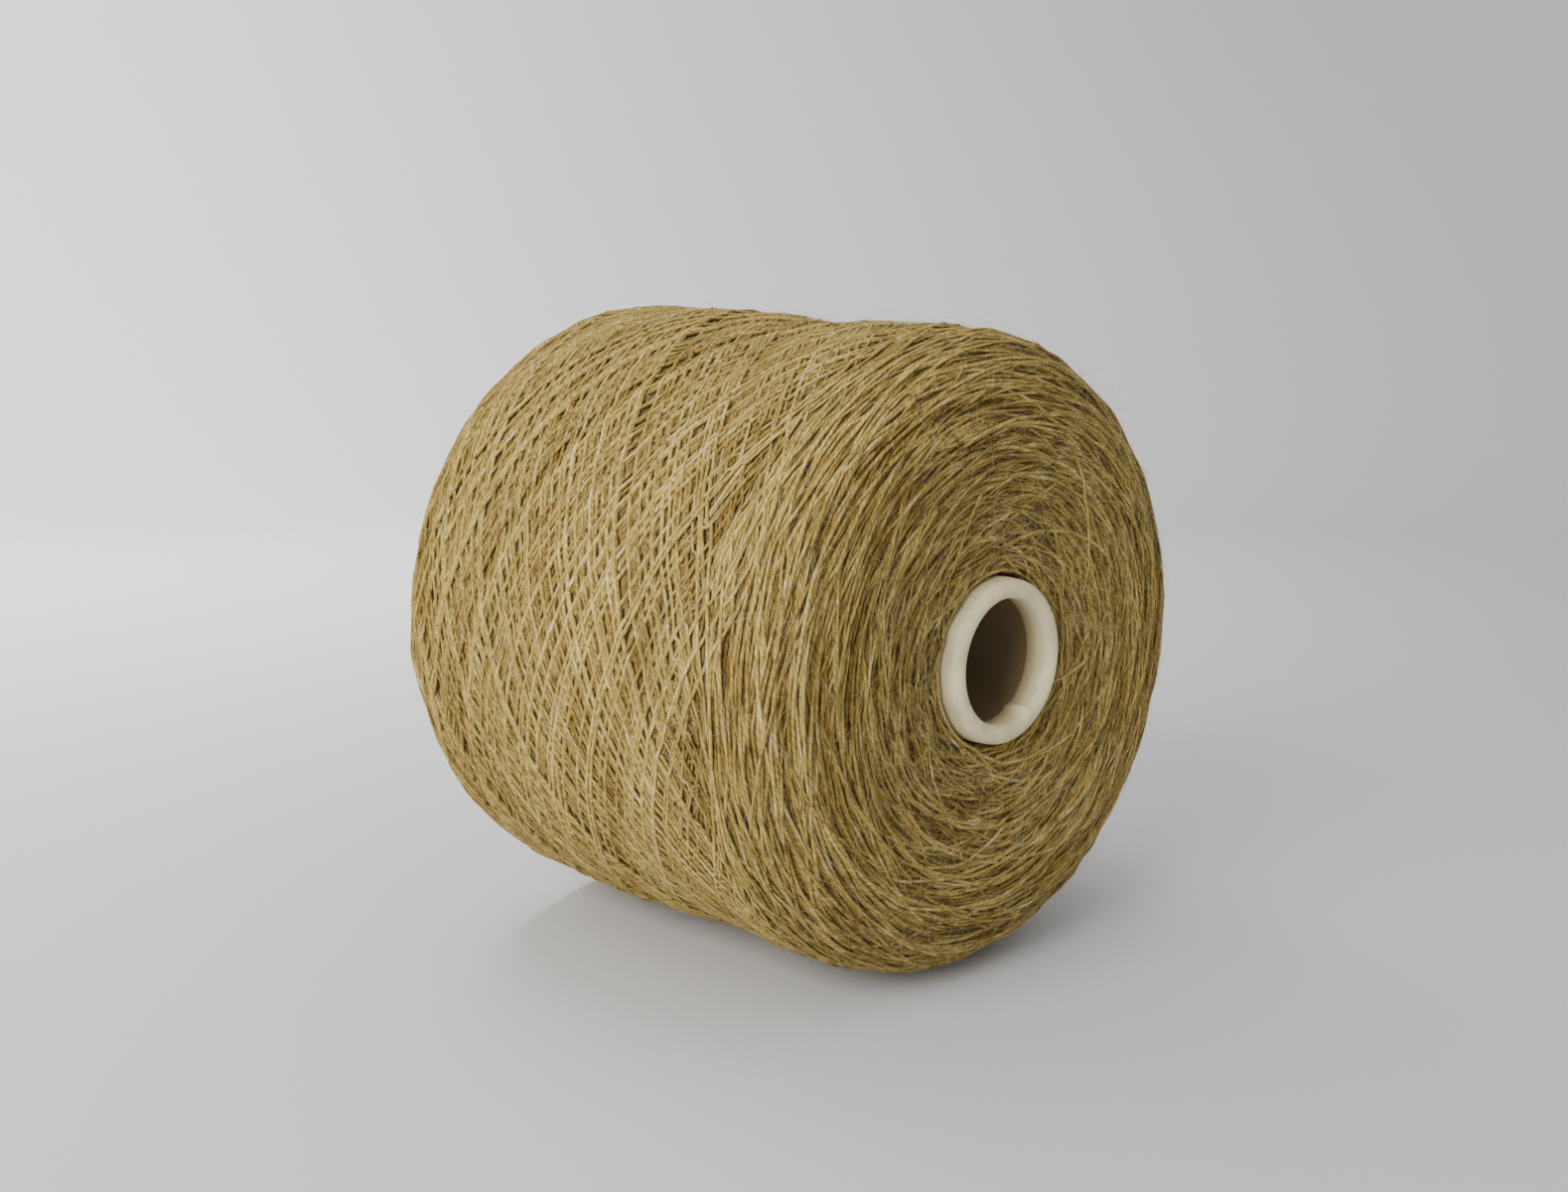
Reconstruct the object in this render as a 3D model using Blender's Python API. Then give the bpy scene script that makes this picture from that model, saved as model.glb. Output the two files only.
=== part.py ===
"""A cone of plied yarn that lies on its side, cross-wound on a tapered paper core.

Metres, +Z up. The core's axis runs along +X with its nose end at +X. The wound body is a little
wider at its base end, so the axis dips slightly towards the nose. The origin is on the surface
that the package lies on, under the middle of its box.

Points of a section are (station, radius): the station runs along the core's axis from the base
rim of the yarn, the radius is measured from that axis.
"""

import math
from collections import namedtuple

import bmesh
import bpy
import numpy as np
from mathutils import Vector

MM = 0.001

# Wound body: rows of its side, from the base rim to the shoulder. The drop says how far a section
# hangs below the core's axis, because the package is not wound quite true.
SideRow = namedtuple("SideRow", "station radius drop")
SIDE = (
    SideRow(station=-1.5 * MM, radius=99.5 * MM, drop=-0.5 * MM),
    SideRow(station=28.7 * MM, radius=99.0 * MM, drop=0.3 * MM),
    SideRow(station=57.3 * MM, radius=97.9 * MM, drop=1.1 * MM),
    SideRow(station=86.0 * MM, radius=95.0 * MM, drop=1.2 * MM),
    SideRow(station=114.6 * MM, radius=95.0 * MM, drop=1.1 * MM),
)
BASE_RIM_RADIUS = 2.4 * MM
BASE_RIM_TURNS = (math.radians(30), math.radians(60))
BASE_DISH = 3.0 * MM

# Shoulder and nose face: the shoulder is a quarter of a squarish oval that ends where the face
# stands furthest forward, and the face then dips towards the core.
FACE_CREST_STATION = 155.2 * MM
FACE_CREST_RADIUS = 61.6 * MM
FACE_END_STATION = 149.4 * MM
SHOULDER_POWER = 3.1
FACE_DIP_POWER = 1.6
CORE_GAP = 0.3 * MM
YARN_ROLL_IN = 2.4 * MM
CURVE_STEPS = 60

# Relief of the winding: two families of ridges that cross on the side, and rings on the face.
ROW_SPACING = 3.9 * MM
BASE_ROW_SPACING = 11.0 * MM
RIDGE_HEIGHT = 1.5 * MM
RING_HEIGHT = 0.8 * MM
RING_PITCH = 12.0 * MM
RidgeFamily = namedtuple("RidgeFamily", "pitch waves phase")
RIDGES = (
    RidgeFamily(pitch=16.0 * MM, waves=13, phase=0.4),
    RidgeFamily(pitch=19.0 * MM, waves=-12, phase=2.1),
)
SWELL_HEIGHT = 0.3 * MM
SWELL_PITCH = 70.0 * MM
RELIEF_FADE = 8.0 * MM

# How far the two ends lean at the top: the face leans out and the base leans back.
FACE_LEAN = 1.8 * MM
FACE_LEAN_FROM = 100.0 * MM
FACE_LEAN_TO = 150.0 * MM
BASE_LEAN = 1.0 * MM
BASE_LEAN_TO = 50.0 * MM

# How the package lies
AXIS_DIP = math.radians(1.34)
FLAT_SPOT_DEPTH = 2.4 * MM

# Paper core
CORE_LENGTH = 170.0 * MM
CORE_NOSE_STATION = 156.0 * MM
CORE_NOSE_RADIUS = 23.45 * MM
CORE_HALF_ANGLE = math.radians(3.5)
CORE_WALL = 2.8 * MM
NOSE_RIM_RADIUS = 2.4 * MM
NOSE_RIM_STEPS = 8
NOSE_LIP_LENGTH = 6.0 * MM
NOSE_LIP_SLOPE = 0.5 * MM

TURN_STEPS = 72
SHARP_ANGLE = math.radians(40)

YARN_COLOUR = (0.384, 0.291, 0.134, 1.0)
PAPER_COLOUR = (0.456, 0.423, 0.319, 1.0)


def core_radius(station):
    """Outer radius of the core at a station."""
    return CORE_NOSE_RADIUS + (CORE_NOSE_STATION - station) * math.tan(CORE_HALF_ANGLE)


def smooth_row(rows, station):
    """Radius and drop at a station, on a smooth curve through the rows of a table."""
    stations = np.array([row.station for row in rows])
    values = np.array([(row.radius, row.drop) for row in rows])
    slopes = np.gradient(values, stations, axis=0)
    place = min(max(station, stations[0]), stations[-1])
    after = min(max(int(np.searchsorted(stations, place)), 1), len(rows) - 1)
    span = stations[after] - stations[after - 1]
    part = (place - stations[after - 1]) / span
    low, high = values[after - 1], values[after]
    rise_low, rise_high = slopes[after - 1] * span, slopes[after] * span
    curve = (
        low * (1 + 2 * part) * (1 - part) ** 2
        + rise_low * part * (1 - part) ** 2
        + high * part * part * (3 - 2 * part)
        - rise_high * part * part * (1 - part)
    )
    return float(curve[0]), float(curve[1])


def evenly_spaced(points, spacing):
    """Resample a line of section points at an even spacing along it."""
    line = np.array(points)
    steps = np.hypot(*np.diff(line, axis=0).T)
    along = np.concatenate(([0.0], np.cumsum(steps)))
    count = max(2, round(along[-1] / spacing) + 1)
    wanted = np.linspace(0.0, along[-1], count)
    places = np.interp(wanted, along, line[:, 0])
    radii = np.interp(wanted, along, line[:, 1])
    return list(zip(places.tolist(), radii.tolist()))


def yarn_section():
    """Closed section of the wound body: base, rim, side, shoulder, nose face and the bore."""
    first, last = SIDE[0], SIDE[-1]
    bore_start = first.station + BASE_DISH + YARN_ROLL_IN
    bore_end = FACE_END_STATION - YARN_ROLL_IN
    base_foot = core_radius(bore_start) + CORE_GAP + YARN_ROLL_IN
    face_foot = core_radius(bore_end) + CORE_GAP + YARN_ROLL_IN
    rim_foot = first.radius - BASE_RIM_RADIUS

    base_line = [(first.station + BASE_DISH, base_foot), (first.station, rim_foot)]
    base = evenly_spaced(base_line, BASE_ROW_SPACING)
    rim = []
    for turn in BASE_RIM_TURNS:
        station = first.station + BASE_RIM_RADIUS * (1 - math.cos(turn))
        rim.append((station, rim_foot + BASE_RIM_RADIUS * math.sin(turn)))
    side_stations = np.linspace(first.station + BASE_RIM_RADIUS, last.station, CURVE_STEPS)
    side = [(station, smooth_row(SIDE, station)[0]) for station in side_stations]
    shoulder = []
    for turn in np.linspace(0.0, math.pi / 2, CURVE_STEPS)[1:]:
        forward = math.sin(turn) ** (2 / SHOULDER_POWER)
        outward = max(math.cos(turn), 0.0) ** (2 / SHOULDER_POWER)
        station = last.station + (FACE_CREST_STATION - last.station) * forward
        radius = FACE_CREST_RADIUS + (last.radius - FACE_CREST_RADIUS) * outward
        shoulder.append((station, radius))
    face = []
    for part in np.linspace(0.0, 1.0, CURVE_STEPS)[1:]:
        dip = (FACE_CREST_STATION - FACE_END_STATION) * part ** FACE_DIP_POWER
        face.append((FACE_CREST_STATION - dip, FACE_CREST_RADIUS + (face_foot - FACE_CREST_RADIUS) * part))
    outside = evenly_spaced(side + shoulder + face, ROW_SPACING)
    bore = [(station, core_radius(station) + CORE_GAP) for station in (bore_end, bore_start)]
    return base + rim + outside + bore


def core_section():
    """Closed section of the paper core: a straight taper with its nose end rolled inwards."""
    base_station = CORE_NOSE_STATION - CORE_LENGTH
    rim_station = CORE_NOSE_STATION - NOSE_RIM_RADIUS
    rim_centre = core_radius(rim_station) - NOSE_RIM_RADIUS
    rim = []
    for turn in np.linspace(0.0, math.pi, NOSE_RIM_STEPS + 1):
        station = rim_station + NOSE_RIM_RADIUS * math.sin(turn)
        rim.append((station, rim_centre + NOSE_RIM_RADIUS * math.cos(turn)))
    lip_end = rim_station - NOSE_LIP_LENGTH
    lip = [
        (lip_end, rim[-1][1] + NOSE_LIP_SLOPE),
        (lip_end - NOSE_LIP_SLOPE, core_radius(lip_end) - CORE_WALL),
    ]
    return [
        (base_station, core_radius(base_station) - CORE_WALL),
        (base_station, core_radius(base_station)),
        *rim,
        *lip,
    ]


def turned(section):
    """Turn a closed section once round the X axis and return it as a bmesh."""
    shape = bmesh.new()
    verts = [shape.verts.new((station, 0.0, radius)) for station, radius in section]
    edges = [shape.edges.new((verts[i], verts[(i + 1) % len(verts)])) for i in range(len(verts))]
    bmesh.ops.spin(
        shape,
        geom=verts + edges,
        axis=(1.0, 0.0, 0.0),
        cent=(0.0, 0.0, 0.0),
        angle=2 * math.pi,
        steps=TURN_STEPS,
        use_merge=True,
    )
    bmesh.ops.recalc_face_normals(shape, faces=shape.faces)
    shape.normal_update()
    return shape


def ease(value, start, end):
    """0 before start, 1 after end and a smooth rise between them."""
    part = min(max((value - start) / (end - start), 0.0), 1.0)
    return part * part * (3 - 2 * part)


def relief(station, radius, angle):
    """Height of the winding over the plain body at one point of its outside."""
    over_shoulder = max(SIDE[-1].radius - radius, 0.0) if station > SIDE[-1].station else 0.0
    path = station + over_shoulder
    phases = [2 * math.pi * path / family.pitch + family.waves * angle + family.phase for family in RIDGES]
    ridges = max(math.cos(phase) for phase in phases)
    rings = math.cos(2 * math.pi * path / RING_PITCH + angle)
    swell = math.sin(2 * math.pi * path / SWELL_PITCH + 2 * angle)
    to_face = ease(path, SIDE[-1].station - RELIEF_FADE, SIDE[-1].station + 2 * RELIEF_FADE)
    from_base = ease(station, SIDE[0].station, SIDE[0].station + RELIEF_FADE)
    bore = core_radius(station) + YARN_ROLL_IN
    to_core = ease(radius, bore, bore + RELIEF_FADE)
    winding = RIDGE_HEIGHT / 2 * ridges * (1 - to_face) + RING_HEIGHT / 2 * rings * to_face
    return (winding + SWELL_HEIGHT * swell) * from_base * to_core


def end_lean(station, angle):
    """How far a point at the outside is shifted along the axis because the ends lean."""
    to_face = ease(station, FACE_LEAN_FROM, FACE_LEAN_TO)
    to_base = 1 - ease(station, 0.0, BASE_LEAN_TO)
    return (FACE_LEAN * to_face - BASE_LEAN * to_base) * math.cos(angle)


def wind(shape):
    """Raise the winding's relief on the plain body, lean its ends and let its sections hang low."""
    moves = []
    for vert in shape.verts:
        station, radius = vert.co.x, math.hypot(vert.co.y, vert.co.z)
        bore = core_radius(station) + CORE_GAP
        if radius < bore + CORE_GAP:
            continue
        angle = math.atan2(vert.co.y, vert.co.z)
        height = relief(station, radius, angle)
        side_radius, drop = smooth_row(SIDE, station)
        outness = (radius - bore) / (side_radius - bore)
        shift = Vector((end_lean(station, angle), 0.0, -drop)) * outness
        moves.append((vert, vert.normal * height + shift))
    for vert, move in moves:
        vert.co += move


def finish(name, shape, material, axis_empty):
    """Make a smooth-shaded object of a bmesh and hang it on the package's axis."""
    mesh = bpy.data.meshes.new(name)
    shape.to_mesh(mesh)
    shape.free()
    mesh.shade_smooth()
    mesh.set_sharp_from_angle(angle=SHARP_ANGLE)
    mesh.materials.append(material)
    piece = bpy.data.objects.new(name, mesh)
    piece.parent = axis_empty
    bpy.context.scene.collection.objects.link(piece)
    return piece


def surface(name, colour, roughness):
    """A plain surface of one colour."""
    material = bpy.data.materials.new(name)
    material.use_nodes = True
    shader = material.node_tree.nodes["Principled BSDF"]
    shader.inputs["Base Color"].default_value = colour
    shader.inputs["Roughness"].default_value = roughness
    shader.inputs["Metallic"].default_value = 0.0
    return material


def world_points(pieces):
    """Every vertex of the pieces in the world, as an array."""
    return np.array([piece.matrix_world @ vert.co for piece in pieces for vert in piece.data.vertices])


def lay_down(axis_empty, yarn, core):
    """Lower the package onto the surface, press its underside flat there and centre its box."""
    axis_empty.location.z = -world_points([yarn])[:, 2].min() - FLAT_SPOT_DEPTH
    bpy.context.view_layer.update()
    back = yarn.matrix_world.inverted()
    for vert in yarn.data.vertices:
        place = yarn.matrix_world @ vert.co
        if place.z < 0.0:
            vert.co = back @ Vector((place.x, place.y, 0.0))
    yarn.data.update()
    points = world_points([yarn, core])
    middle = (points.min(axis=0) + points.max(axis=0)) / 2
    axis_empty.location.x -= middle[0]
    axis_empty.location.y -= middle[1]
    bpy.context.view_layer.update()


def build():
    """Build the package: its core, the yarn wound on it, and the way they lie."""
    for old in list(bpy.data.objects):
        bpy.data.objects.remove(old)
    axis_empty = bpy.data.objects.new("package_axis", None)
    axis_empty.rotation_euler = (0.0, AXIS_DIP, 0.0)
    bpy.context.scene.collection.objects.link(axis_empty)

    paper = surface("cream_paper", PAPER_COLOUR, 0.7)
    core = finish("paper_core", turned(core_section()), paper, axis_empty)
    body = turned(yarn_section())
    wind(body)
    mohair = surface("mohair_yarn", YARN_COLOUR, 0.9)
    yarn = finish("wound_yarn", body, mohair, axis_empty)
    bpy.context.view_layer.update()
    lay_down(axis_empty, yarn, core)


build()
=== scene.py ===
"""Looks of a cone of mohair yarn: the wound strands, stray hairs, the paper core and the studio.

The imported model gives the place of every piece. Lengths are in metres. Points of a section are
(station, radius): the station runs along the core's axis from the base rim of the yarn, and the
radius is measured from that axis. Path is the distance along the section's outer line, 0 at the
base rim, growing over the side and the shoulder to the core, and negative on the base face.
"""

import logging
import math
from dataclasses import dataclass, field
from enum import Enum
from typing import Any, Dict, List, NamedTuple, Optional, Sequence, Tuple

import bmesh
import bpy
import numpy as np
from mathutils import Matrix, Vector


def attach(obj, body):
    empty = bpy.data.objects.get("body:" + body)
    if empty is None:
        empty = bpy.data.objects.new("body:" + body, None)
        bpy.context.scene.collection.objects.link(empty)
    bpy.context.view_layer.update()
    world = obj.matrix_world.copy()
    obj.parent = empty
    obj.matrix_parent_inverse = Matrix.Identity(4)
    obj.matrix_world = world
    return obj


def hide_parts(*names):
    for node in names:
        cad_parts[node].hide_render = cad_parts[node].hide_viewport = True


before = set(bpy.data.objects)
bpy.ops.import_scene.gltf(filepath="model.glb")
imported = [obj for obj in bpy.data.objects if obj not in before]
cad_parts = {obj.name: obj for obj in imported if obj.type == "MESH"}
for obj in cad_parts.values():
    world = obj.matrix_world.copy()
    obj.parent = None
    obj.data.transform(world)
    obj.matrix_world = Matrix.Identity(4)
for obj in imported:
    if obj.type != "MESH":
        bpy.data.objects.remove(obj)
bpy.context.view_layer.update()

LOG = logging.getLogger("yarn_cone")
MM = 0.001
FULL_TURN = 2 * math.pi
PHOTO_WIDTH = 1579
CORE_GAP = 0.3 * MM
ACROSS = np.array([0.0, 1.0, 0.0])
TINT_SHIFT = 0.37
Array = np.ndarray
Place = Tuple[float, float, float]
Stop = Tuple[float, str]


def linear(hex_colour: str) -> Tuple[float, float, float, float]:
    """Turn an sRGB hex colour into the linear colour that a shader takes.

    Args:
        hex_colour: six hex digits, such as "A79363".

    Returns:
        Red, green, blue and an alpha of 1.
    """
    parts = [int(hex_colour[place:place + 2], 16) / 255 for place in (0, 2, 4)]
    red, green, blue = (
        part / 12.92 if part <= 0.04045 else ((part + 0.055) / 1.055) ** 2.4 for part in parts
    )
    return (red, green, blue, 1.0)


def feed(tree: bpy.types.NodeTree, node: bpy.types.Node, values: Dict[Any, Any]) -> None:
    """Set a node's inputs.

    Args:
        tree: the node's tree.
        node: the node.
        values: for each input, by name or number, a value or the socket that feeds it.
    """
    for key, value in values.items():
        if isinstance(value, bpy.types.NodeSocket):
            tree.links.new(value, node.inputs[key])
        else:
            node.inputs[key].default_value = value


def add_node(tree: bpy.types.NodeTree, kind: str, values: Optional[Dict[Any, Any]] = None, output: Any = 0,
             stops: Sequence[Stop] = (), **settings: Any) -> bpy.types.NodeSocket:
    """Add one node with its settings, its input values and its links.

    Args:
        tree: the node tree that gets the node.
        kind: the node's type name, after ShaderNode or GeometryNode.
        values: for each input, by name or number, a value or the socket that feeds it.
        output: name or number of the output wanted.
        stops: place and hex colour of each stop of a colour ramp, in order.
        **settings: the node's own properties.

    Returns:
        The output's socket.
    """
    prefix = "ShaderNode" if tree.type == "SHADER" else "GeometryNode"
    node = tree.nodes.new(prefix + kind)
    for name, value in settings.items():
        setattr(node, name, value)
    if stops:
        elements = node.color_ramp.elements
        for element, (place, colour) in ((elements[0], stops[0]), (elements[1], stops[-1])):
            element.position, element.color = place, linear(colour)
        for place, colour in stops[1:-1]:
            elements.new(place).color = linear(colour)
    feed(tree, node, values or {})
    return node.outputs[output]


def ease(part: Array) -> Array:
    """Smooth rise from 0 to 1 as the input goes from 0 to 1."""
    part = np.clip(part, 0, 1)
    return part * part * (3 - 2 * part)


def smooth(values: Array, cells: int) -> Array:
    """Running mean over an odd number of values, with the end values held."""
    return np.convolve(np.pad(values, cells // 2, mode="edge"), np.ones(cells) / cells, mode="valid")


def read_places(mesh: bpy.types.Mesh) -> Array:
    """Read where a mesh's points are.

    Args:
        mesh: the mesh.

    Returns:
        The places, one row each.
    """
    places = np.empty(len(mesh.vertices) * 3, dtype=np.float32)
    mesh.vertices.foreach_get("co", places)
    return places.reshape(-1, 3)


def move_points(mesh: bpy.types.Mesh, places: Array) -> None:
    """Put a mesh's points at new places, one row each."""
    mesh.vertices.foreach_set("co", places.astype(np.float32).ravel())
    mesh.update()


def store(mesh: bpy.types.Mesh, name: str, values: Array) -> None:
    """Keep a number or a vector for each point of a mesh, for its material or its node tree.

    Args:
        mesh: the mesh.
        name: the attribute's name.
        values: a number or a row of three for each point.
    """
    kind, key = ("FLOAT", "value") if values.ndim == 1 else ("FLOAT_VECTOR", "vector")
    mesh.attributes.new(name, kind, "POINT").data.foreach_set(key, values.astype(np.float32).ravel())


def press_flat(points: Array, softness: float = 1.5 * MM) -> Array:
    """Press points that would go through the table up onto it, keeping their order.

    Args:
        points: the places.
        softness: height over which the pressing fades in.

    Returns:
        The places, pressed.
    """
    low = points[:, 2] < softness
    points[low, 2] = softness * np.exp((points[low, 2] - softness) / softness)
    return points


def spin_section(name: str, section: Sequence[Tuple[float, float]], axis: Place, steps: int,
                 closed: bool = True) -> bpy.types.Mesh:
    """Turn a section in the XZ plane round an axis through the origin.

    Args:
        name: the mesh's name.
        section: X and Z of each point, in order.
        axis: the axis.
        steps: how many steps make the full turn.
        closed: whether the section is a loop; an open one has its pole merged and faces up there.

    Returns:
        The turned mesh, shaded smooth.
    """
    shape = bmesh.new()
    verts = [shape.verts.new((float(x), 0.0, float(z))) for x, z in section]
    edges = [shape.edges.new(pair) for pair in zip(verts, verts[1:] + verts[:1] if closed else verts[1:])]
    bmesh.ops.spin(shape, geom=verts + edges, axis=axis, cent=(0, 0, 0), angle=FULL_TURN, steps=steps,
                   use_merge=True)
    if not closed:
        bmesh.ops.remove_doubles(shape, verts=shape.verts, dist=0.01 * MM)
    bmesh.ops.recalc_face_normals(shape, faces=shape.faces)
    if not closed and next(iter(shape.faces)).normal.z < 0:
        bmesh.ops.reverse_faces(shape, faces=shape.faces)
    mesh = bpy.data.meshes.new(name)
    shape.to_mesh(mesh)
    shape.free()
    mesh.shade_smooth()
    return mesh


def link_piece(name: str, mesh: bpy.types.Mesh, material: bpy.types.Material, node: str) -> None:
    """Put a finished mesh in the scene as a piece of the package.

    Args:
        name: the piece's name.
        mesh: its mesh.
        material: its finish.
        node: the node that it stands for.
    """
    mesh.name = name
    mesh.materials.clear()
    mesh.materials.append(material)
    piece = bpy.data.objects.new(name, mesh)
    bpy.context.scene.collection.objects.link(piece)
    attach(piece, "root")
    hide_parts(node)
    LOG.info("%s: %d faces", name, len(mesh.polygons))


class SectionRow(NamedTuple):
    """A row of the wound body's side: station, radius and how far the section hangs low."""

    station: float
    radius: float
    drop: float


@dataclass(frozen=True)
class PackageForm:
    """The wound body's plain outer form and its place in the frame."""

    side: Tuple[SectionRow, ...] = (
        SectionRow(-1.5 * MM, 99.5 * MM, -0.5 * MM),
        SectionRow(28.7 * MM, 99.0 * MM, 0.3 * MM),
        SectionRow(57.3 * MM, 97.9 * MM, 1.1 * MM),
        SectionRow(86.0 * MM, 95.0 * MM, 1.2 * MM),
        SectionRow(114.6 * MM, 95.0 * MM, 1.1 * MM),
    )
    base_rim_radius: float = 2.6 * MM
    base_dish: float = 3.0 * MM
    face_crest_station: float = 155.2 * MM
    face_crest_radius: float = 61.6 * MM
    face_end_station: float = 150.8 * MM
    shoulder_power: float = 3.1
    face_dip_power: float = 1.6
    face_lean: float = 1.8 * MM
    face_lean_from: float = 100.0 * MM
    face_lean_to: float = 150.0 * MM
    base_lean: float = 1.0 * MM
    base_lean_to: float = 50.0 * MM
    core_nose_station: float = 156.0 * MM
    core_nose_radius: float = 23.45 * MM
    core_length: float = 170.0 * MM
    core_half_angle: float = math.radians(3.5)
    axis_dip: float = math.radians(1.34)
    base_end_reach: float = 3.0 * MM
    rim_samples: int = 20
    side_samples: int = 200
    face_samples: int = 80
    line_step: float = 0.25 * MM

    def core_radius(self, station: float) -> float:
        """Outer radius of the core at a station."""
        return self.core_nose_radius + (self.core_nose_station - station) * math.tan(self.core_half_angle)

    def foot(self) -> Array:
        """Find station 0 on the core's axis, from the core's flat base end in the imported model.

        Returns:
            Its place.
        """
        points = read_places(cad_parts["paper_core"].data).astype(float)
        base_end = points[points[:, 0] < points[:, 0].min() + self.base_end_reach]
        centre = (base_end.min(axis=0) + base_end.max(axis=0)) / 2
        return centre + self.along() * (self.core_length - self.core_nose_station)

    def along(self) -> Array:
        """Direction of the core's axis, towards its nose end."""
        return np.array([math.cos(self.axis_dip), 0.0, -math.sin(self.axis_dip)])

    def upward(self) -> Array:
        """Direction square to the axis that points up."""
        return np.array([math.sin(self.axis_dip), 0.0, math.cos(self.axis_dip)])

    def outward(self, angles: Array) -> Array:
        """Directions away from the axis, at turns round it from the top, towards +Y."""
        return np.cos(angles)[:, None] * self.upward() + np.sin(angles)[:, None] * ACROSS

    def side_curve(self, stations: Array) -> Tuple[Array, Array]:
        """Radius and drop along the side, on a smooth curve through the rows.

        Args:
            stations: the stations wanted.

        Returns:
            The radii and the drops there.
        """
        knots = np.array([row.station for row in self.side])
        values = np.array([(row.radius, row.drop) for row in self.side])
        slopes = np.gradient(values, knots, axis=0)
        place = np.clip(stations, knots[0], knots[-1])
        after = np.clip(np.searchsorted(knots, place), 1, len(knots) - 1)
        span = (knots[after] - knots[after - 1])[:, None]
        part = (place[:, None] - knots[after - 1][:, None]) / span
        curve = (
            values[after - 1] * (1 + 2 * part) * (1 - part) ** 2
            + slopes[after - 1] * span * part * (1 - part) ** 2
            + values[after] * part * part * (3 - 2 * part)
            - slopes[after] * span * part * part * (1 - part)
        )
        return curve[:, 0], curve[:, 1]

    def lean(self, stations: Array) -> Array:
        """How far the top of the outside is shifted along the axis, because the two ends lean."""
        to_face = ease((stations - self.face_lean_from) / (self.face_lean_to - self.face_lean_from))
        return self.face_lean * to_face - self.base_lean * (1 - ease(stations / self.base_lean_to))

    def place(self, foot: Array, stations: Array, radii: Array, angles: Array) -> Array:
        """Places of points of the wound body, with its leaning ends and its hang.

        Args:
            foot: place of station 0.
            stations: how far along the axis.
            radii: how far from it.
            angles: turn round it from the top, towards +Y.

        Returns:
            The places, one row each.
        """
        side, drop = self.side_curve(stations)
        bore = self.core_radius(stations)
        outness = np.clip((radii - bore) / (side - bore), 0, 1)
        shifted = stations + self.lean(stations) * outness * np.cos(angles)
        spots = foot + shifted[:, None] * self.along() + radii[:, None] * self.outward(angles)
        spots[:, 2] -= drop * outness
        return spots

    def outer_line(self) -> Tuple[Array, Array]:
        """The section's outer line from the core at the base to the core at the nose face.

        Returns:
            The points (station, radius) at an even step, and the path of each.
        """
        first, last = self.side[0], self.side[-1]
        rim_foot = first.radius - self.base_rim_radius
        base_foot = self.core_radius(first.station + self.base_dish) + CORE_GAP
        base = np.array([[first.station + self.base_dish, base_foot], [first.station, rim_foot]])
        turn = np.linspace(0.0, math.pi / 2, self.rim_samples)[1:]
        rim = np.stack([
            first.station + self.base_rim_radius * (1 - np.cos(turn)),
            rim_foot + self.base_rim_radius * np.sin(turn),
        ], 1)
        stations = np.linspace(first.station + self.base_rim_radius, last.station, self.side_samples)[1:]
        side = np.stack([stations, self.side_curve(stations)[0]], 1)
        turn = np.linspace(0.0, math.pi / 2, self.side_samples)[1:]
        forward = np.sin(turn) ** (2 / self.shoulder_power)
        outward = np.clip(np.cos(turn), 0, 1) ** (2 / self.shoulder_power)
        shoulder = np.stack([
            last.station + (self.face_crest_station - last.station) * forward,
            self.face_crest_radius + (last.radius - self.face_crest_radius) * outward,
        ], 1)
        part = np.linspace(0.0, 1.0, self.face_samples)[1:]
        face_foot = self.core_radius(self.face_end_station) + CORE_GAP
        dip = (self.face_crest_station - self.face_end_station) * part ** self.face_dip_power
        face = np.stack([
            self.face_crest_station - dip,
            self.face_crest_radius + (face_foot - self.face_crest_radius) * part,
        ], 1)
        line = np.concatenate([base, rim, side, shoulder, face])
        travelled = np.concatenate([[0.0], np.cumsum(np.hypot(*np.diff(line, axis=0).T))])
        zero = (travelled[1] + travelled[len(rim) + 1]) / 2
        wanted = np.arange(0.0, travelled[-1], self.line_step)
        points = np.stack([np.interp(wanted, travelled, column) for column in line.T], 1)
        return points, wanted - zero


class Surface:
    """The wound body's outer surface: turns (path, angle, height) into places in the frame."""

    NORMAL_SMOOTHING = 9

    def __init__(self, form: PackageForm) -> None:
        """Sample the form's outer line and its normals.

        Args:
            form: the wound body's sizes.
        """
        self.form = form
        self.foot = form.foot()
        self.points, self.paths = form.outer_line()
        self.start, self.end = float(self.paths[0]), float(self.paths[-1])
        tangent = np.gradient(self.points, axis=0)
        tangent /= np.linalg.norm(tangent, axis=1)[:, None]
        square = (-tangent[:, 1], tangent[:, 0])
        self.normals = np.stack([smooth(column, self.NORMAL_SMOOTHING) for column in square], 1)
        self.normals /= np.linalg.norm(self.normals, axis=1)[:, None]

    def radius(self, path: Array) -> Array:
        """Radius of the plain form at each path."""
        return np.interp(path, self.paths, self.points[:, 1])

    def place(self, path: Array, angle: Array, height: Array) -> Tuple[Array, Array]:
        """Places and outward normals on the surface.

        Args:
            path: distance along the outer line.
            angle: turn round the axis from the top, towards +Y.
            height: distance above the plain form.

        Returns:
            The places and the normals, one row each.
        """
        station, radius, along_n, out_n = (
            np.interp(path, self.paths, column) for column in (*self.points.T, *self.normals.T)
        )
        normal = along_n[:, None] * self.form.along() + out_n[:, None] * self.form.outward(angle)
        return self.form.place(self.foot, station, radius, angle) + height[:, None] * normal, normal


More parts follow.
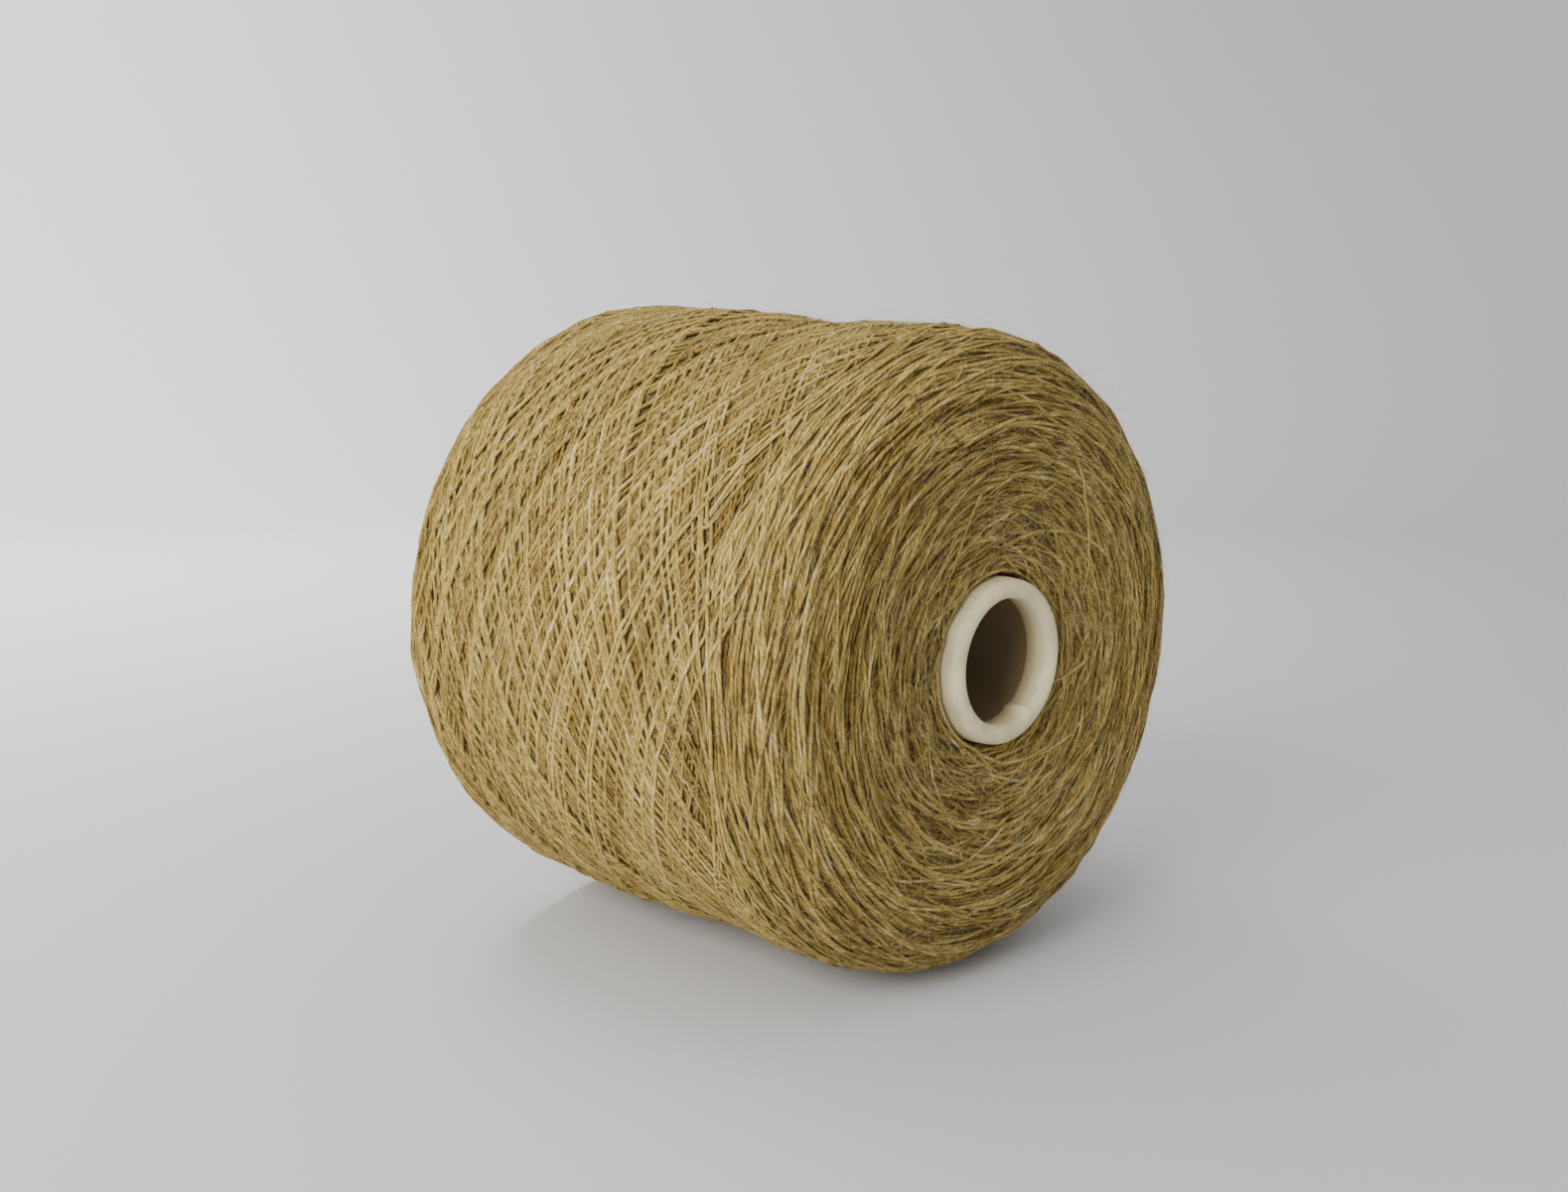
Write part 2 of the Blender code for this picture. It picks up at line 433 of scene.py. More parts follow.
@dataclass
class TraverseLaw:
    """The steady traverse of the winder: how far it goes along the body for each turn.

    The apexes are the paths at which the sloping lines of a turn would meet, and the angles are
    those between strand and circumference near each end.
    """

    surface: Surface
    turns: float = 13 / 10
    base_apex: float = -7.0 * MM
    nose_apex: float = 147.0 * MM
    base_angle: float = math.radians(15.5)
    nose_angle: float = math.radians(24.0)
    angle_change: float = 100.0 * MM
    samples: int = 400

    def __post_init__(self) -> None:
        """Work out the turn round the body at each path."""
        self.half_turn = math.pi * self.turns
        self.paths = np.linspace(self.base_apex, self.nose_apex, self.samples)
        part = np.clip(self.paths / self.angle_change, 0, 1)
        lean = np.tan(self.base_angle + (self.nose_angle - self.base_angle) * part)
        rate = 1 / (self.surface.radius(np.clip(self.paths, 0, None)) * lean)
        angles = np.concatenate([[0.0], np.cumsum((rate[1:] + rate[:-1]) / 2 * np.diff(self.paths))])
        self.angles = angles * self.half_turn / angles[-1]
        self.base_slope = (self.paths[1] - self.paths[0]) / (self.angles[1] - self.angles[0])
        self.nose_slope = (self.paths[-1] - self.paths[-2]) / (self.angles[-1] - self.angles[-2])


class Run(NamedTuple):
    """One yarn run from the base rim to the shoulder and back.

    It has the angle at which it leaves the base rim, the paths at which it turns at the base and at
    the shoulder, how far it strays round the body halfway along, and whether it lies tight over the
    highest strands instead of bedding between them.
    """

    start: float
    base_turn: float
    nose_turn: float
    sway: float
    proud: bool


@dataclass
class RunMaker:
    """The winder's irregularities from one run to the next.

    A family is a set of side-by-side runs. A ribbon is a few runs of a family that lie close together.
    """

    law: TraverseLaw
    chance: np.random.Generator
    families: int = 10
    neighbour_step: float = 0.11
    step_middle: float = -0.15
    step_spread: float = 0.55
    wander: float = 0.05
    wander_memory: float = 0.98
    sway: float = 0.04
    sway_memory: float = 0.998
    ribbon_share: float = 0.045
    ribbon_strands: int = 2
    ribbon_hold: float = 0.85
    start_scatter: float = 0.012
    stray_scatter: float = 0.02
    stray_share: float = 0.09
    proud_share: float = 0.12
    base_turn: float = 0.5 * MM
    base_turn_spread: float = 1.3 * MM
    nose_turn: float = 137.0 * MM
    nose_turn_spread: float = 2.5 * MM

    def __post_init__(self) -> None:
        """Give every family its own drift."""
        self.drift = self.chance.normal(0, self.wander, self.families)
        self.ribbon, self.lag = np.zeros(self.families, dtype=int), np.zeros(self.families)
        self.start, self.swayed, self.count = 0.0, 0.0, 0

    def stray(self, value: float, size: float, memory: float) -> float:
        """Move a value on at random, so that it stays about as large as size and keeps a memory of itself."""
        return memory * value + self.chance.normal(0, size * math.sqrt(1 - memory ** 2))

    def next_run(self) -> Run:
        """Move on to the next run.

        Returns:
            The run.
        """
        chance = self.chance
        step = self.neighbour_step / self.families * chance.lognormal(self.step_middle, self.step_spread)
        self.start += 2 * self.law.half_turn + step
        self.count += 1
        family = self.count % self.families
        self.drift[family] = self.stray(self.drift[family], self.wander, self.wander_memory)
        self.swayed = self.stray(self.swayed, self.sway, self.sway_memory)
        if self.ribbon[family] > 0:
            self.ribbon[family] -= 1
            self.lag[family] += self.neighbour_step * self.ribbon_hold
        else:
            self.lag[family] = 0.0
            if chance.random() < self.ribbon_share:
                self.ribbon[family] = self.ribbon_strands
        scatter = self.stray_scatter if chance.random() < self.stray_share else self.start_scatter
        proud = bool(self.ribbon[family] > 0 or chance.random() < self.proud_share)
        return Run(
            self.start + self.drift[family] - self.lag[family] + chance.normal(0, scatter),
            chance.normal(self.base_turn, self.base_turn_spread),
            chance.normal(self.nose_turn, self.nose_turn_spread), self.swayed, proud,
        )


class Course(NamedTuple):
    """One laid strand: its line on the surface and its look."""

    path: Array
    angle: Array
    height: Array
    tint: float
    gauge: float


class Wave(NamedTuple):
    """Sideways waves of a strand: their size, and the fewest and the most in a full turn."""

    size: float
    fewest: float
    most: float


class ArcStyle(NamedTuple):
    """Arcs on a face: how many a layer has, their change of path, their bend and the angle they cover."""

    count: int
    lean_spread: float
    bow: float
    bow_spread: float
    least_sweep: float
    most_sweep: float


@dataclass
class Winding:
    """Lays strands one after another on the surface, each on top of those laid before.

    A top share is 1 where a strand rests on the highest spots under it, 0 where it beds into them.
    """

    surface: Surface
    strand_width: float = 1.15 * MM
    strand_thickness: float = 0.34 * MM
    flank_rise: float = 0.35
    crown_rise: float = 0.65
    gauge_spread: float = 0.07
    cell: float = 0.4 * MM
    angle_cells: int = 1440
    strand_reach: int = 2
    bridge_reach: int = 12
    bridge_bend: float = 90.0
    smooth_cells: int = 9
    bedded_top_share: float = 0.2
    proud_top_share: float = 0.6
    arc_top_shares: Tuple[float, float] = (0.4, 0.3)
    arc_share_paths: Tuple[float, float] = (135.0 * MM, 165.0 * MM)
    waves: Tuple[Wave, ...] = (Wave(0.1 * MM, 4, 9), Wave(0.05 * MM, 14, 26))
    # Waves start anywhere in about a full turn, and those of the arcs are this many times larger.
    wave_shift: float = 6.3
    arc_waves: float = 4.0
    arc_start: float = 1.0 * MM
    arc_end: float = 1.4 * MM
    end_sink: float = 0.6 * MM
    sink_from: float = 0.75
    level_cells: int = 7
    swell_cells: int = 7
    swell_gain: float = 0.15
    sight_reach: int = 1
    sight_depth: float = 0.18 * MM
    settle: float = 0.7 * MM
    seed: int = 7
    courses: List[Course] = field(default_factory=list)

    def __post_init__(self) -> None:
        """Start with a bare bed."""
        self.random = np.random.default_rng(self.seed)
        self.rows = int((self.surface.end - self.surface.start) / self.cell) + 1
        self.bed = np.zeros((self.rows, self.angle_cells))
        self.ground = self.bed

    def columns(self, angle: Array) -> Array:
        """Columns of the bed at each angle."""
        return np.round(angle / FULL_TURN * self.angle_cells).astype(int) % self.angle_cells

    def cells_across(self, path: Array, angle: Array, reach: int) -> Tuple[Array, Array, Array]:
        """Cells of the bed across a strand.

        Args:
            path: path at each of its points.
            angle: angle at each of its points.
            reach: how many cells to take on each side of the middle one.

        Returns:
            Rows and columns of the cells, and how far each lies off the strand's middle.
        """
        middle = (path - self.surface.start) / self.cell
        row = np.clip(np.round(middle).astype(int)[:, None] + np.arange(-reach, reach + 1), 0, self.rows - 1)
        return row, self.columns(angle)[:, None], np.abs((row - middle[:, None]) * self.cell)

    def strand_top(self, height: Array, off: Array, gauge: float) -> Tuple[Array, Array]:
        """Upper side of a strand.

        Args:
            height: the strand's height at each of its points.
            off: how far each cell across it lies off its middle.
            gauge: its width as a share of the normal width.

        Returns:
            Height of its upper side over each cell, and which cells it covers.
        """
        across = off / (self.strand_width * gauge / 2)
        crown = np.sqrt(np.clip(1 - across ** 2, 0.0, 1.0))
        rise = self.strand_thickness * gauge * (self.flank_rise + self.crown_rise * crown)
        return height[:, None] + rise, across < 1.0

    def height_at(self, heights: Array, path: Array, angle: Array) -> Array:
        """Heights of the bed, or of the ground under it, at places on the surface.

        Args:
            heights: the bed or the ground.
            path: path of each place.
            angle: angle of each place.

        Returns:
            The height at each.
        """
        rows = np.clip(((path - self.surface.start) / self.cell).astype(int), 0, self.rows - 1)
        return heights[rows, self.columns(angle)]

    def lay(self, path: Array, angle: Array, top_share: float, sink: Optional[Array] = None) -> None:
        """Lay one strand and raise the bed under it.

        Args:
            path: path at each angle cell that the strand passes.
            angle: the angles, one angle cell apart.
            top_share: how far the strand rests on the highest spots under it.
            sink: how far the strand dives at each point, for ends that go under their neighbours.
        """
        row, column, off = self.cells_across(path, angle, self.strand_reach)
        under = self.bed[row, column]
        rest = top_share * under.max(axis=1) + (1 - top_share) * under.mean(axis=1)
        step = FULL_TURN / self.angle_cells * self.surface.radius(path)
        line = rest.copy()
        for reach in range(1, min(self.bridge_reach, len(line) - 1)):
            fall = self.bridge_bend * (reach * step) ** 2
            line[reach:] = np.maximum(line[reach:], rest[:-reach] - fall[reach:])
            line[:-reach] = np.maximum(line[:-reach], rest[reach:] - fall[:-reach])
        line = smooth(line, self.smooth_cells)
        if sink is not None:
            line = line - sink
        gauge = float(self.random.normal(1.0, self.gauge_spread))
        top, covered = self.strand_top(line, off, gauge)
        self.bed[row, column] = np.maximum(under, np.where(covered, top, -np.inf))
        self.courses.append(Course(path, angle, line, float(self.random.random()), gauge))

    def lay_run(self, law: TraverseLaw, run: Run) -> None:
        """Lay one yarn run from the base rim to the shoulder and back.

        Args:
            law: the traverse that the winder repeats.
            run: where this run starts and turns, and how it lies.
        """
        cells = np.arange(0, 2 * law.half_turn, FULL_TURN / self.angle_cells)
        to_nose = np.abs(cells - law.half_turn)
        to_base = law.half_turn - to_nose
        swayed = law.angles + run.sway * np.sin(law.angles / law.half_turn * math.pi)
        line = np.interp(to_base, swayed, law.paths)
        nose_reach = 2 * (law.nose_apex - run.nose_turn) / law.nose_slope
        base_reach = 2 * (run.base_turn - law.base_apex) / law.base_slope
        nose_bend = run.nose_turn - law.nose_slope / (2 * nose_reach) * to_nose ** 2
        line = np.where(to_nose < nose_reach, nose_bend, line)
        base_bend = run.base_turn + law.base_slope / (2 * base_reach) * to_base ** 2
        line = np.where(to_base < base_reach, base_bend, line)
        top_share = self.proud_top_share if run.proud else self.bedded_top_share
        self.lay(line + self.waviness(cells), cells + run.start, top_share)

    def waviness(self, cells: Array) -> Array:
        """Small sideways waves of a soft strand.

        Args:
            cells: the angles of its points.

        Returns:
            How far each point lies off its line.
        """
        off = np.zeros(len(cells))
        for wave in self.waves:
            turns = cells * self.random.uniform(wave.fewest, wave.most)
            off += wave.size * np.sin(turns + self.random.uniform(0, self.wave_shift))
        return off

    def lay_arc(self, path: float, middle: float, style: ArcStyle) -> None:
        """Lay the bend of a deeper layer's strand, which shows as an arc on a face.

        Args:
            path: path of the arc's middle.
            middle: angle of the arc's middle.
            style: how such arcs vary.
        """
        chance = self.random
        lean, bow = chance.normal(0, style.lean_spread), chance.normal(style.bow, style.bow_spread)
        sweep = chance.uniform(style.least_sweep, style.most_sweep)
        cells = np.arange(-sweep / 2, sweep / 2, FULL_TURN / self.angle_cells)
        part = cells / (sweep / 2)
        line = path + lean * part / 2 - bow * part ** 2 + self.arc_waves * self.waviness(cells)
        line = np.clip(line, self.surface.start + self.arc_start, self.surface.end - self.arc_end)
        sink = self.end_sink * np.clip((np.abs(part) - self.sink_from) / (1 - self.sink_from), 0, 1) ** 2
        self.lay(line, cells + middle, np.interp(path, self.arc_share_paths, self.arc_top_shares), sink)

    def level(self) -> None:
        """Shift all heights so that the wound surface keeps the plain form on average."""
        ground = smooth(self.bed.mean(axis=1), self.level_cells)
        self.bed -= ground[:, None]
        places = self.surface.start + np.arange(self.rows) * self.cell
        for course in self.courses:
            course.height[:] -= np.interp(course.path, places, ground)

    def swell(self) -> None:
        """Raise the ridges and deepen the troughs that are a few strands wide."""
        broad = self.bed
        reach = self.swell_cells - 1
        hill = np.convolve(np.ones(self.swell_cells), np.ones(self.swell_cells)) / self.swell_cells ** 2
        for axis, mode in ((0, "edge"), (1, "wrap")):
            margin = [(0, 0), (0, 0)]
            margin[axis] = (reach, reach)
            padded = np.pad(broad, margin, mode=mode)
            length = broad.shape[axis]
            broad = sum(
                share * np.take(padded, range(place, place + length), axis=axis)
                for place, share in enumerate(hill)
            )
        self.bed += self.swell_gain * broad
        self.ground = (1 + self.swell_gain) * broad
        for course in self.courses:
            row, column, _ = self.cells_across(course.path, course.angle, 0)
            course.height[:] += self.swell_gain * broad[row, column][:, 0]

    def shown_runs(self, course: Course) -> List[slice]:
        """Stretches of a strand that nothing laid later hides.

        Args:
            course: the strand.

        Returns:
            Slices of its points.
        """
        row, column, off = self.cells_across(course.path, course.angle, self.sight_reach)
        top, covered = self.strand_top(course.height, off, course.gauge)
        bare = (top > self.bed[row, column] - self.sight_depth) & covered
        seen = np.convolve(bare.any(axis=1).astype(float), np.ones(self.smooth_cells), mode="same") > 0
        edges = np.flatnonzero(np.diff(np.concatenate([[0], seen.astype(int), [0]])))
        return [slice(a, b) for a, b in zip(edges[::2], edges[1::2]) if b - a >= self.smooth_cells]


@dataclass
class Winder:
    """Lays all the strands of the package, from the inside out."""

    surface: Surface
    layers: int = 12
    runs: int = 45
    base_arcs: ArcStyle = ArcStyle(55, 5.0 * MM, 0.0, 1.0 * MM, 0.8, 2.0)
    face_arcs: ArcStyle = ArcStyle(122, 11.0 * MM, 1.5 * MM, 1.5 * MM, 0.6, 1.9)
    base_end: float = 2.5 * MM
    face_start: float = 131.0 * MM
    # Steps that scatter path and angle evenly, without rows.
    path_stride: float = 0.7548776662
    angle_stride: float = 0.5698402910

    def spread(self, low: float, high: float, count: int) -> List[Tuple[float, float]]:
        """Places spread evenly but without a pattern over a band of the surface.

        Args:
            low: path where the band starts.
            high: path where it ends.
            count: how many places.

        Returns:
            Path and angle of each.
        """
        number = np.arange(count)
        paths = low + (high - low) * ((number * self.path_stride) % 1)
        return list(zip(paths.tolist(), (FULL_TURN * ((number * self.angle_stride) % 1)).tolist()))

    def wind(self) -> Winding:
        """Lay the base arcs, the runs and the face arcs of each layer in turn.

        Returns:
            The laid strands.
        """
        winding = Winding(self.surface)
        law = TraverseLaw(self.surface)
        maker = RunMaker(law, winding.random)
        base_spots = self.spread(self.surface.start, self.base_end, self.layers * self.base_arcs.count)
        face_spots = self.spread(self.face_start, self.surface.end, self.layers * self.face_arcs.count)
        for layer in range(self.layers):
            for path, angle in base_spots[layer::self.layers]:
                winding.lay_arc(path, angle, self.base_arcs)
            for _ in range(self.runs):
                winding.lay_run(law, maker.next_run())
            for path, angle in face_spots[layer::self.layers]:
                winding.lay_arc(path, angle, self.face_arcs)
            winding.level()
        winding.swell()
        return winding


@dataclass(frozen=True)
class Finish:
    """A finish, made as a material with one Principled shader."""

    name: str = "finish"

    def inputs(self, tree: bpy.types.NodeTree) -> Dict[str, Any]:
        """Values and sockets for the inputs of the shader in a tree."""
        raise NotImplementedError

    def make(self) -> bpy.types.Material:
        """Make the material.

        Returns:
            The material, whose shader has this finish's inputs.
        """
        material = bpy.data.materials.new(self.name)
        material.use_nodes = True
        tree = material.node_tree
        feed(tree, tree.nodes["Principled BSDF"], self.inputs(tree))
        return material


class Streaks(NamedTuple):
    """Streaks of colour in a strand.

    They have their length, how many lie round the strand, how far the patterns of two strands are
    apart, and their detail.
    """

    length: float
    around: float
    shift: float
    detail: float


@dataclass(frozen=True)
class PliedMohair(Finish):
    """Finish of the yarn: two plies of mohair and wool, spun from grey, ochre and golden fibres.

    Plied mohair is matt with a soft lustre at the edges, its two plies show as short slanting marks,
    and its fibres give it a streaky heather. Its colour also holds painted shade in the ply grooves, on
    the strands' flanks and in the troughs of the surface, and a painted highlight on each crown.
    """

    name: str = "plied_mohair_wool"
    # Shade, brown, ochre body, gold and pale fibres, each at its place in the blend.
    tones: Tuple[Stop, ...] = (
        (0.34, "54411F"), (0.42, "8A6E3A"), (0.49, "9E904F"), (0.56, "B9974B"), (0.64, "C8BE96"),
    )
    # Painted shade in the deepest troughs of the wound surface, fading to none near its ridges.
    trough_painted_shade: Tuple[Stop, ...] = ((0.0, "A89668"), (0.85, "FFFFFF"))
    lustre: str = "E8DCC0"
    heather: Streaks = Streaks(4.0 * MM, 1.5, 70.0, 3.0)
    fibres: Streaks = Streaks(1.3 * MM, 16.0, 90.0, 2.0)
    tint_share: float = 0.22
    blend_share: float = 0.45
    turn_length: float = 4.6 * MM
    ply_roundness: float = 0.6
    # Painted shade in the grooves between the plies, up to a slight painted highlight on their crests.
    ply_groove_painted_shade: Tuple[float, float] = (0.7, 1.08)
    # Painted highlight on a strand's crown, and painted shade on its flanks where it lies tight and, darker,
    # where it lies loose.
    crown_painted_highlight: float = 1.12
    tight_flank_painted_shade: float = 0.77
    loose_flank_painted_shade: float = 0.52
    flank_span: Tuple[float, float] = (0.05, 0.25)
    ply_relief: float = 0.1 * MM
    fibre_relief: float = 0.07 * MM

    def streaks(self, tree: bpy.types.NodeTree, style: Streaks, along: Any, around: Any, tint: Any) -> Any:
        """Noise drawn out along the strand.

        Args:
            tree: the material's node tree.
            style: the streaks' sizes.
            along: the socket with the distance along the strand.
            around: the socket with the place round it.
            tint: the socket with the strand's own number.

        Returns:
            The noise's socket.
        """
        place = {
            axis: add_node(tree, "Math", {0: source, 1: scale}, operation="MULTIPLY")
            for axis, source, scale in (
                ("X", along, 1 / style.length), ("Y", around, style.around), ("Z", tint, style.shift),
            )
        }
        vector = add_node(tree, "CombineXYZ", place)
        return add_node(tree, "TexNoise", {"Vector": vector, "Scale": 1.0, "Detail": style.detail})

    def inputs(self, tree: bpy.types.NodeTree) -> Dict[str, Any]:
        """Blend the fibres' colours by streaks, paint shade into the plies' grooves, the flanks and the
        troughs, and paint a highlight on each crown.

        Args:
            tree: the material's node tree.

        Returns:
            The shader's inputs.
        """
        along, around, tint, loose, relief = (
            add_node(tree, "Attribute", output="Fac", attribute_name=name)
            for name in ("along", "around", "tint", "loose", "relief")
        )
        turn = add_node(tree, "Math", {0: along, 1: 1 / self.turn_length}, operation="MULTIPLY")
        twist = add_node(tree, "Math", {0: turn, 1: around}, operation="ADD")
        lobe = twist
        for operation, value in (
            ("MULTIPLY", FULL_TURN), ("SINE", 0.0), ("ABSOLUTE", 0.0), ("POWER", self.ply_roundness),
        ):
            lobe = add_node(tree, "Math", {0: lobe, 1: value}, operation=operation)

        fibres = self.streaks(tree, self.fibres, along, twist, tint)
        heather = self.streaks(tree, self.heather, along, around, tint)
        blend = add_node(tree, "Math", {0: heather, 1: fibres}, operation="ADD")
        blend = add_node(tree, "Math", {0: tint, 1: self.tint_share, 2: blend}, operation="MULTIPLY_ADD")
        blend = add_node(tree, "Math", {0: blend, 1: self.blend_share}, operation="MULTIPLY")
        colour = add_node(tree, "ValToRGB", {"Fac": blend}, stops=self.tones)

        # Painted shade in the ply grooves.
        low, high = self.ply_groove_painted_shade
        groove = add_node(tree, "MapRange", {"Value": lobe, "To Min": low, "To Max": high})
        # Painted highlight on each strand's crown and painted shade on its flanks, darker where it lies
        # loose.
        off_top = add_node(tree, "Math", {0: around, 1: 0.5}, operation="SUBTRACT")
        off_top = add_node(tree, "Math", {0: off_top}, operation="ABSOLUTE")
        gap = add_node(tree, "MapRange", {
            "Value": loose, "To Min": self.tight_flank_painted_shade, "To Max": self.loose_flank_painted_shade,
        })
        crown_edge, flank_edge = self.flank_span
        flank = add_node(tree, "MapRange", {
            "Value": off_top, "From Min": crown_edge, "From Max": flank_edge, "To Min": self.crown_painted_highlight,
            "To Max": gap,
        })
        painted_light_and_shade = add_node(tree, "Math", {0: groove, 1: flank}, operation="MULTIPLY")
        # Painted shade in the troughs of the wound surface, from each point's relief.
        trough_painted_shade = add_node(tree, "ValToRGB", {"Fac": relief}, stops=self.trough_painted_shade)
        for layer in (painted_light_and_shade, trough_painted_shade):
            colour = add_node(
                tree, "Mix", {0: 1.0, 6: colour, 7: layer}, output=2, data_type="RGBA", blend_type="MULTIPLY"
            )
        bump = add_node(tree, "Bump", {"Height": lobe, "Distance": self.ply_relief, "Strength": 1.0})
        bump = add_node(tree, "Bump", {
            "Height": fibres, "Distance": self.fibre_relief, "Strength": 1.0, "Normal": bump,
        })
        return {
            "Base Color": colour, "Roughness": 0.82, "Specular IOR Level": 0.15, "Sheen Weight": 0.05,
            "Sheen Roughness": 0.45, "Sheen Tint": linear(self.lustre), "Normal": bump,
        }


@dataclass(frozen=True)
class DeepYarn(Finish):
    """Finish of the yarn under the visible strands, seen only in the gaps: tones darker than the strands'
    own, as painted shade of the deep gaps, darkest in lines between deep strands.
    """

    name: str = "deep_mohair_wool_painted_shade"
    # Painted shade: dark between the deep strands, and darker overall than the strands' own colour.
    tones: Tuple[Stop, ...] = ((0.1, "4E3F24"), (0.8, "93804B"))
    strand_width: float = 1.3 * MM
    bends: float = 14.0
    relief: float = 0.5 * MM

    def inputs(self, tree: bpy.types.NodeTree) -> Dict[str, Any]:
        """Draw uneven lines at the width of a strand, with painted shade between them.

        Args:
            tree: the material's node tree.

        Returns:
            The shader's inputs.
        """
        place = add_node(tree, "TexCoord", output="Object")
        mottle = add_node(tree, "TexNoise", {"Vector": place, "Scale": 1 / (4 * self.strand_width)})
        path = add_node(tree, "Attribute", output="Fac", attribute_name="path")
        phase = add_node(tree, "Math", {0: path, 1: FULL_TURN / self.strand_width}, operation="MULTIPLY")
        phase = add_node(tree, "Math", {0: mottle, 1: self.bends, 2: phase}, operation="MULTIPLY_ADD")
        line = add_node(tree, "Math", {0: phase}, operation="SINE")
        line = add_node(tree, "MapRange", {"Value": line, "From Min": -1.0})
        return {
            "Base Color": add_node(tree, "ValToRGB", {"Fac": line}, stops=self.tones), "Roughness": 0.95,
            "Normal": add_node(tree, "Bump", {"Height": line, "Distance": self.relief, "Strength": 1.0}),
        }


@dataclass(frozen=True)
class LooseMohair(Finish):
    """Finish of the single hairs: mohair fibre has smooth scales, so it is pale and a little lustrous."""

    name: str = "loose_mohair_fibre"
    tones: Tuple[Stop, ...] = ((0.0, "8F7B4E"), (1.0, "C9BC98"))

    def inputs(self, tree: bpy.types.NodeTree) -> Dict[str, Any]:
        """Give each hair its own tone between the two."""
        tint = add_node(tree, "Attribute", output="Fac", attribute_name="tint")
        return {"Base Color": add_node(tree, "ValToRGB", {"Fac": tint}, stops=self.tones), "Roughness": 0.5}


@dataclass(frozen=True)
class WoundPaper(Finish):
    """Finish of the core: cream paper wound over grey-brown board.

    Cone paper is matt and slightly fibrous, a little burnished on the rolled nose, and its inside is
    raw grey-brown board, its tone partly its own and partly painted shade, which gets darker away from the
    mouth.
    """

    name: str = "wound_cream_paper"
    outside: Tuple[Stop, ...] = ((0.3, "D2C69F"), (0.6, "EDE0B0"))
    # Board in the bore: its own grey-brown deepened by painted shade, darker away from the mouth.
    bore: Tuple[Stop, ...] = ((0.0, "EDE0B0"), (0.12, "8E7B58"), (1.0, "75634A"))
    bore_edge: float = 0.05
    blotch_size: float = 9.0 * MM
    fibre_size: float = 0.5 * MM
    fibre_relief: float = 0.06 * MM

    def inputs(self, tree: bpy.types.NodeTree) -> Dict[str, Any]:
        """Soil the cream paper in blotches, turn it to board with painted shade in the bore and speck it with
        fibres.

        Args:
            tree: the material's node tree.

        Returns:
            The shader's inputs.
        """
        place = add_node(tree, "TexCoord", output="Object")
        depth = add_node(tree, "Attribute", output="Fac", attribute_name="bore_depth")
        blotch, fibre = (
            add_node(tree, "TexNoise", {"Vector": place, "Scale": 1 / size, "Detail": detail})
            for size, detail in ((self.blotch_size, 3.0), (self.fibre_size, 4.0))
        )
        cream = add_node(tree, "ValToRGB", {"Fac": blotch}, stops=self.outside)
        board = add_node(tree, "ValToRGB", {"Fac": depth}, stops=self.bore)
        inside = add_node(tree, "MapRange", {"Value": depth, "From Min": 0.0, "From Max": self.bore_edge})
        colour = add_node(tree, "Mix", {0: inside, 6: cream, 7: board}, output=2, data_type="RGBA")
        speck = add_node(tree, "MapRange", {
            "Value": fibre, "From Min": 0.35, "From Max": 0.65, "To Min": 0.88, "To Max": 1.04,
        })
        return {
            "Base Color": add_node(
                tree, "Mix", {0: 1.0, 6: colour, 7: speck}, output=2, data_type="RGBA", blend_type="MULTIPLY"
            ),
            "Roughness": 0.62,
            "Normal": add_node(tree, "Bump", {
                "Height": fibre, "Distance": self.fibre_relief, "Strength": 0.6,
            }),
        }


@dataclass(frozen=True)
class BackdropPaper(Finish):
    """Finish of the floor and wall: plain, matt, pale grey paper without a pattern."""

    name: str = "matt_backdrop_paper"
    colour: str = "D1D1D1"

    def inputs(self, tree: bpy.types.NodeTree) -> Dict[str, Any]:
        """Give the paper its colour."""
        return {"Base Color": linear(self.colour), "Roughness": 0.9}


class Line(NamedTuple):
    """A line in the frame, with what its points carry.

    It has the places and outward directions, the width at each point as a share of the normal width,
    the line's place in the colour blend from 0 to 1, how loosely it lies beside its neighbours from 0
    to 1, and its relief: 0 in the deepest troughs of the surface, 1 on a ridge.
    """

    points: Array
    outward: Array
    gauge: Array
    tint: float
    loose: Array
    relief: Array

    def along(self) -> Array:
        """Distance of each point from the start, shifted by the tint so that strands differ."""
        steps = np.linalg.norm(np.diff(self.points, axis=0), axis=1)
        return np.concatenate([[0.0], np.cumsum(steps)]) + TINT_SHIFT * self.tint


